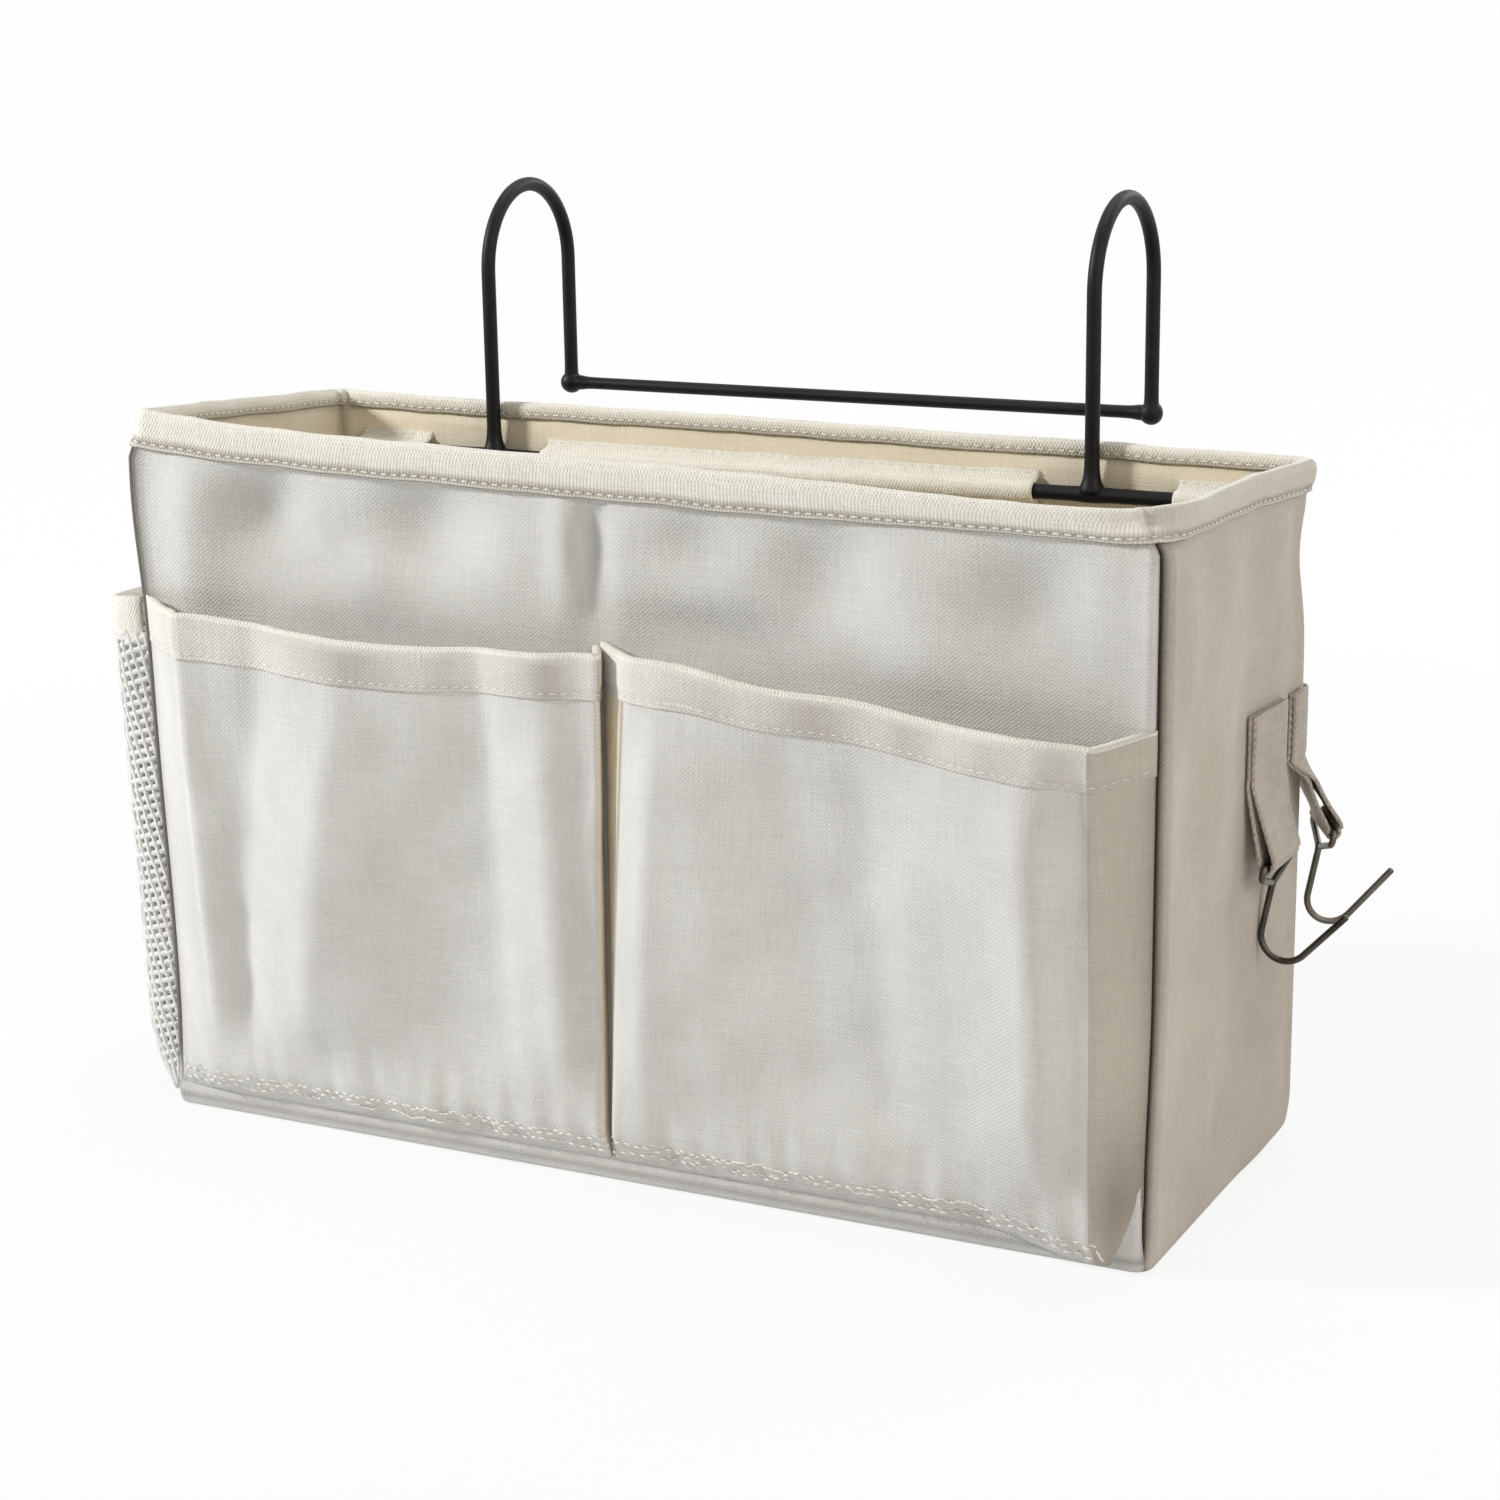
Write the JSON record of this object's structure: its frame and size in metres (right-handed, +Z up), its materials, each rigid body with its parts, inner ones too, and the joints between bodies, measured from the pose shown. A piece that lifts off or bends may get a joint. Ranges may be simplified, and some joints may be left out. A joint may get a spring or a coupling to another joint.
{
  "type": "bedside caddy",
  "caption": "Open canvas box bag with pleated front pockets, a mesh side pocket and strap hooks, hung on a bed rail by a folding black wire frame.",
  "frame": {"origin": "centre of the underside of the bottom panel", "axes": "+X to the right along the front, seen from in front; +Y towards the back, where the rail hooks are; +Z up"},
  "size_m": [0.3874, 0.189, 0.2822],
  "materials": {
    "canvas": "matt off-white canvas",
    "lining": "matt cream lining cloth",
    "binding_tape": "matt cream tape",
    "mesh": "white knitted mesh",
    "webbing": "beige-grey woven webbing",
    "base_board": "matt board",
    "black_steel": "black powder coat",
    "dark_nickel": "dark nickel-plated wire"
  },
  "bodies": {
    "bag": {"front_panel": "canvas", "back_panel": "canvas", "left_side_panel": "canvas", "right_side_panel": "canvas", "bottom_panel": "canvas", "base_board": "base_board", "rim_binding": "binding_tape", "left_pocket": "canvas", "right_pocket": "canvas", "left_pocket_hem": "binding_tape", "right_pocket_hem": "binding_tape", "mesh_pocket": "mesh", "mesh_pocket_binding": "binding_tape", "casing_left": "lining", "casing_middle": "lining", "casing_right": "lining", "front_strap_tab": "webbing", "rear_strap_tab": "webbing"},
    "rail_frame": {"support_rod": "black_steel", "left_hook": "black_steel", "right_hook": "black_steel", "crossbar": "black_steel", "left_knob": "black_steel", "right_knob": "black_steel"},
    "front_strap": {"front_strap_loop": "webbing"},
    "front_hook": {"front_strap_hook": "dark_nickel"},
    "rear_strap": {"rear_strap_loop": "webbing"},
    "rear_hook": {"rear_strap_hook": "dark_nickel"}
  },
  "joints": [
    {"name": "frame_fold", "type": "hinge", "parent": "bag", "child": "rail_frame", "pos_m": [0, 0.05395, 0.195], "axis": [1, 0, 0], "range_deg": [0, 180]},
    {"name": "front_strap_swing", "type": "hinge", "parent": "bag", "child": "front_strap", "pos_m": [0.1665, 0.027, 0.1205], "axis": [0, -1, 0], "range_deg": [0, 75]},
    {"name": "front_hook_swing", "type": "hinge", "parent": "front_strap", "child": "front_hook", "pos_m": [0.17167, 0.027, 0.09809], "axis": [0, -1, 0], "range_deg": [0, 90]},
    {"name": "rear_strap_swing", "type": "hinge", "parent": "bag", "child": "rear_strap", "pos_m": [0.16562, 0.05752, 0.1205], "axis": [0.4695, -0.8829, 0], "range_deg": [0, 60]},
    {"name": "rear_hook_swing", "type": "hinge", "parent": "rear_strap", "child": "rear_hook", "pos_m": [0.17484, 0.06242, 0.10001], "axis": [0.4695, -0.8829, 0], "range_deg": [0, 90]}
  ]
}
